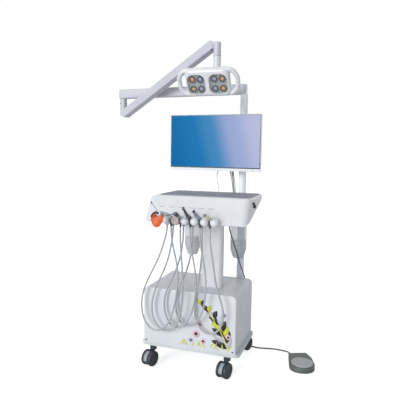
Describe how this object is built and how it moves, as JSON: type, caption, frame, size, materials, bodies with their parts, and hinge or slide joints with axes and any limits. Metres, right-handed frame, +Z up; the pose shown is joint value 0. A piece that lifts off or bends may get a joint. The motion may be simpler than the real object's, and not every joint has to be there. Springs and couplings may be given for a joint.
{
  "type": "portable dental unit",
  "caption": "Wheeled dental cart with a tray of handpieces on hoses, water bottles, a monitor on a rear pole, a lamp on a folding arm and a foot control.",
  "frame": {"origin": "on the floor, in the middle between the four caster stems", "axes": "+X is the user's right when facing the unit, -Y is the front where the instruments hang, +Z is up"},
  "size_m": [1.1798, 0.6356, 1.6026],
  "materials": {
    "white_paint": "satin paint",
    "white_shell": "smooth",
    "frame_paint": "satin paint",
    "pump_metal": "cast",
    "tank_paint": "satin paint",
    "sheet_steel": "brushed",
    "brass": "machined",
    "black_plastic": "matte",
    "grey_plastic": "matte",
    "steel": "polished",
    "dark_metal": "satin",
    "ivory_plastic": "smooth",
    "mat_rubber": "matte",
    "bottle_plastic": "clear",
    "screen_glass": "glossy",
    "lamp_glass": "clear",
    "board_white": "matte",
    "foot_plastic": "textured",
    "pedal_plastic": "textured",
    "orange_plastic": "clear",
    "caster_plastic": "matte",
    "tyre_rubber": "matte",
    "hose_grey": "smooth",
    "black_rubber": "matte",
    "white_rubber": "smooth",
    "grey_rubber": "matte"
  },
  "bodies": {
    "cart": {"deck": "frame_paint", "cabinet_cover": "white_paint", "compressor": "pump_metal", "air_tank": "tank_paint", "power_supply": "sheet_steel", "valve_block": "brass", "power_inlet": "black_plastic", "air_inlet_barb": "steel", "column": "white_paint", "tray_body": "white_shell", "tray_mat": "mat_rubber", "instrument_holder": "white_shell", "cord_glands": "grey_plastic", "bottle_caps": "grey_plastic", "rear_pole": "white_paint", "pole_clamps": "white_paint", "foot_housing": "foot_plastic", "curing_light_hose": "hose_grey", "syringe_hose": "hose_grey", "turbine_handpiece_hose": "hose_grey", "contra_angle_hose": "hose_grey", "scaler_hose": "hose_grey", "foot_control_cord": "black_rubber", "tray_control_cord": "black_rubber", "video_cord": "white_rubber", "cable_loom": "grey_rubber"},
    "fork_front_left": {"caster_fork_front_left": "caster_plastic"},
    "wheels_front_left": {"caster_wheels_front_left": "tyre_rubber"},
    "brake_front_left": {"caster_brake_front_left": "caster_plastic"},
    "fork_front_right": {"caster_fork_front_right": "caster_plastic"},
    "wheels_front_right": {"caster_wheels_front_right": "tyre_rubber"},
    "brake_front_right": {"caster_brake_front_right": "caster_plastic"},
    "fork_rear_left": {"caster_fork_rear_left": "caster_plastic"},
    "wheels_rear_left": {"caster_wheels_rear_left": "tyre_rubber"},
    "fork_rear_right": {"caster_fork_rear_right": "caster_plastic"},
    "wheels_rear_right": {"caster_wheels_rear_right": "tyre_rubber"},
    "power_switch": {"power_switch": "black_plastic"},
    "air_knob": {"air_knob": "black_plastic"},
    "water_knob": {"water_knob": "black_plastic"},
    "water_bottle_left": {"water_bottle_left": "bottle_plastic"},
    "water_bottle_right": {"water_bottle_right": "bottle_plastic"},
    "monitor_bracket": {"monitor_bracket": "grey_plastic"},
    "monitor": {"monitor_housing": "white_shell", "monitor_screen": "screen_glass"},
    "lamp_arm": {"lamp_arm": "white_paint"},
    "lamp_elbow": {"lamp_elbow": "white_paint"},
    "spring_arm": {"spring_arm": "white_paint"},
    "lamp_knuckle": {"lamp_knuckle": "white_paint"},
    "lamp_neck": {"lamp_neck": "white_paint"},
    "lamp_head": {"lamp_housing": "white_shell", "lamp_lenses": "lamp_glass", "lamp_light_boards": "board_white"},
    "foot_pedal": {"foot_pedal": "pedal_plastic"},
    "curing_light": {"curing_light": "white_shell", "curing_shield": "orange_plastic"},
    "syringe": {"syringe": "steel"},
    "turbine_handpiece": {"turbine_handpiece": "dark_metal"},
    "contra_angle": {"contra_angle": "steel"},
    "scaler": {"scaler": "ivory_plastic"},
    "syringe_button": {"syringe_button": "grey_plastic"}
  },
  "joints": [
    {"name": "caster_swivel_front_left", "type": "hinge", "parent": "cart", "child": "fork_front_left", "pos_m": [-0.192, -0.15, 0.098], "axis": [0, 0, 1], "continuous": true},
    {"name": "wheel_spin_front_left", "type": "hinge", "parent": "fork_front_left", "child": "wheels_front_left", "pos_m": [-0.19877, -0.17717, 0.0375], "axis": [0.9703, -0.2419, 0], "continuous": true},
    {"name": "brake_pedal_front_left", "type": "hinge", "parent": "fork_front_left", "child": "brake_front_left", "pos_m": [-0.20119, -0.18687, 0.068], "axis": [-0.9703, 0.2419, 0], "range_deg": [0, 10]},
    {"name": "caster_swivel_front_right", "type": "hinge", "parent": "cart", "child": "fork_front_right", "pos_m": [0.192, -0.15, 0.098], "axis": [0, 0, 1], "continuous": true},
    {"name": "wheel_spin_front_right", "type": "hinge", "parent": "fork_front_right", "child": "wheels_front_right", "pos_m": [0.18523, -0.17717, 0.0375], "axis": [0.9703, -0.2419, 0], "continuous": true},
    {"name": "brake_pedal_front_right", "type": "hinge", "parent": "fork_front_right", "child": "brake_front_right", "pos_m": [0.18281, -0.18687, 0.068], "axis": [-0.9703, 0.2419, 0], "range_deg": [0, 10]},
    {"name": "caster_swivel_rear_left", "type": "hinge", "parent": "cart", "child": "fork_rear_left", "pos_m": [-0.192, 0.15, 0.098], "axis": [0, 0, 1], "continuous": true},
    {"name": "wheel_spin_rear_left", "type": "hinge", "parent": "fork_rear_left", "child": "wheels_rear_left", "pos_m": [-0.18714, 0.17758, 0.0375], "axis": [-0.9848, 0.1736, 0], "continuous": true},
    {"name": "caster_swivel_rear_right", "type": "hinge", "parent": "cart", "child": "fork_rear_right", "pos_m": [0.192, 0.15, 0.098], "axis": [0, 0, 1], "continuous": true},
    {"name": "wheel_spin_rear_right", "type": "hinge", "parent": "fork_rear_right", "child": "wheels_rear_right", "pos_m": [0.20249, 0.17596, 0.0375], "axis": [-0.9272, 0.3746, 0], "continuous": true},
    {"name": "power_switch_rock", "type": "hinge", "parent": "cart", "child": "power_switch", "pos_m": [-0.095, 0.16941, 0.18913], "axis": [1, 0, 0], "range_deg": [-20, 0]},
    {"name": "air_knob_turn", "type": "hinge", "parent": "cart", "child": "air_knob", "pos_m": [0.287, -0.101, 0.827], "axis": [1, 0, 0], "range_deg": [-135, 135]},
    {"name": "water_knob_turn", "type": "hinge", "parent": "cart", "child": "water_knob", "pos_m": [0.287, -0.078, 0.811], "axis": [1, 0, 0], "range_deg": [-135, 135]},
    {"name": "bottle_unscrew_left", "type": "hinge", "parent": "cart", "child": "water_bottle_left", "pos_m": [-0.073, 0.085, 0.8], "axis": [0, 0, 1], "range_deg": [0, 360]},
    {"name": "bottle_unscrew_right", "type": "hinge", "parent": "cart", "child": "water_bottle_right", "pos_m": [0.176, 0.085, 0.8], "axis": [0, 0, 1], "range_deg": [0, 360]},
    {"name": "monitor_pan", "type": "hinge", "parent": "cart", "child": "monitor_bracket", "pos_m": [0.162, 0.196, 1.11], "axis": [0, 0, 1], "range_deg": [-15, 15]},
    {"name": "monitor_tilt", "type": "hinge", "parent": "monitor_bracket", "child": "monitor", "pos_m": [0.031, 0.168, 1.11], "axis": [1, 0, 0], "range_deg": [-15, 5]},
    {"name": "lamp_arm_swing", "type": "hinge", "parent": "cart", "child": "lamp_arm", "pos_m": [0.162, 0.196, 1.364], "axis": [0, 0, 1], "range_deg": [-60, 100]},
    {"name": "elbow_swing", "type": "hinge", "parent": "lamp_arm", "child": "lamp_elbow", "pos_m": [-0.57518, 0.26049, 1.364], "axis": [0, 0, 1], "range_deg": [-120, 0]},
    {"name": "spring_arm_lift", "type": "hinge", "parent": "lamp_elbow", "child": "spring_arm", "pos_m": [-0.54861, 0.24601, 1.28], "axis": [-0.3584, -0.9336, 0], "range_deg": [-24, 0]},
    {"name": "knuckle_level", "type": "hinge", "parent": "spring_arm", "child": "lamp_knuckle", "pos_m": [0.03505, 0.02196, 1.57806], "axis": [-0.3584, -0.9336, 0], "range_deg": [0, 24]},
    {"name": "lamp_neck_turn", "type": "hinge", "parent": "lamp_knuckle", "child": "lamp_neck", "pos_m": [0.06679, 0.00978, 1.52506], "axis": [0, 0, 1], "range_deg": [-45, 45]},
    {"name": "lamp_head_tilt", "type": "hinge", "parent": "lamp_neck", "child": "lamp_head", "pos_m": [0.06679, -0.09022, 1.40506], "axis": [1, 0, 0], "range_deg": [-30, 45]},
    {"name": "foot_pedal_press", "type": "slide", "parent": "cart", "child": "foot_pedal", "axis": [0, 0, -1], "range_m": [0, 0.006], "stiffness_N_per_m": 2000, "springref_m": -0.003},
    {"name": "curing_light_lift_out", "type": "slide", "parent": "cart", "child": "curing_light", "axis": [0, -0.9397, 0.342], "range_m": [0, 0.06]},
    {"name": "syringe_lift_out", "type": "slide", "parent": "cart", "child": "syringe", "axis": [0, -0.9397, 0.342], "range_m": [0, 0.06]},
    {"name": "turbine_handpiece_lift_out", "type": "slide", "parent": "cart", "child": "turbine_handpiece", "axis": [0, -0.9397, 0.342], "range_m": [0, 0.06]},
    {"name": "contra_angle_lift_out", "type": "slide", "parent": "cart", "child": "contra_angle", "axis": [0, -0.9397, 0.342], "range_m": [0, 0.06]},
    {"name": "scaler_lift_out", "type": "slide", "parent": "cart", "child": "scaler", "axis": [0, -0.9397, 0.342], "range_m": [0, 0.06]},
    {"name": "syringe_button_press", "type": "slide", "parent": "syringe", "child": "syringe_button", "axis": [0, -0.342, -0.9397], "range_m": [0, 0.002], "stiffness_N_per_m": 800, "springref_m": -0.001}
  ],
  "couplings": [
    {"joint": "knuckle_level", "follows": "spring_arm_lift", "ratio": -1}
  ]
}
